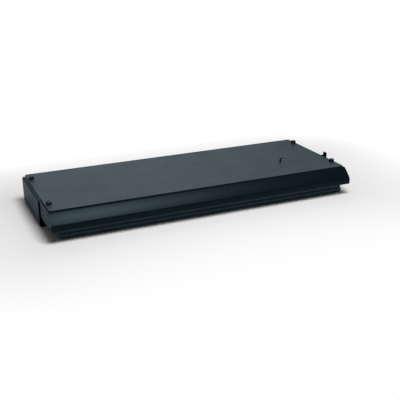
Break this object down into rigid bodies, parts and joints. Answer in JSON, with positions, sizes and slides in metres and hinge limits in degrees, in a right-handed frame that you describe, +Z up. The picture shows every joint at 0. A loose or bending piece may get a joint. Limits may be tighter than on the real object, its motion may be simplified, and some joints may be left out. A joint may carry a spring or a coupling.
{
  "type": "rack drawer cover plate",
  "caption": "Flat screwed steel cover plate on a low bull-nosed sheet-metal hood, for the top of a rack drawer or console",
  "frame": {"origin": "middle of the footprint, on the surface that the hood stands on", "axes": "+X along the plate to the viewer's right, +Y to the rear, +Z up"},
  "size_m": [0.4916, 0.193, 0.0518],
  "materials": {
    "powder_coat": "satin black powder coat on steel sheet",
    "seal_rubber": "matt black seal rubber",
    "black_screw": "blackened steel",
    "zinc_steel": "bright zinc plate"
  },
  "bodies": {
    "root": {"cover_plate": "powder_coat", "nose_shell": "powder_coat", "left_end_cap": "powder_coat", "right_end_cap": "powder_coat", "left_side_bracket": "powder_coat", "right_side_bracket": "powder_coat", "rear_panel": "powder_coat", "bulb_seal": "seal_rubber", "cover_screws": "black_screw", "weld_nuts": "zinc_steel", "stud_nuts": "zinc_steel", "nose_rivets": "zinc_steel"}
  },
  "joints": []
}
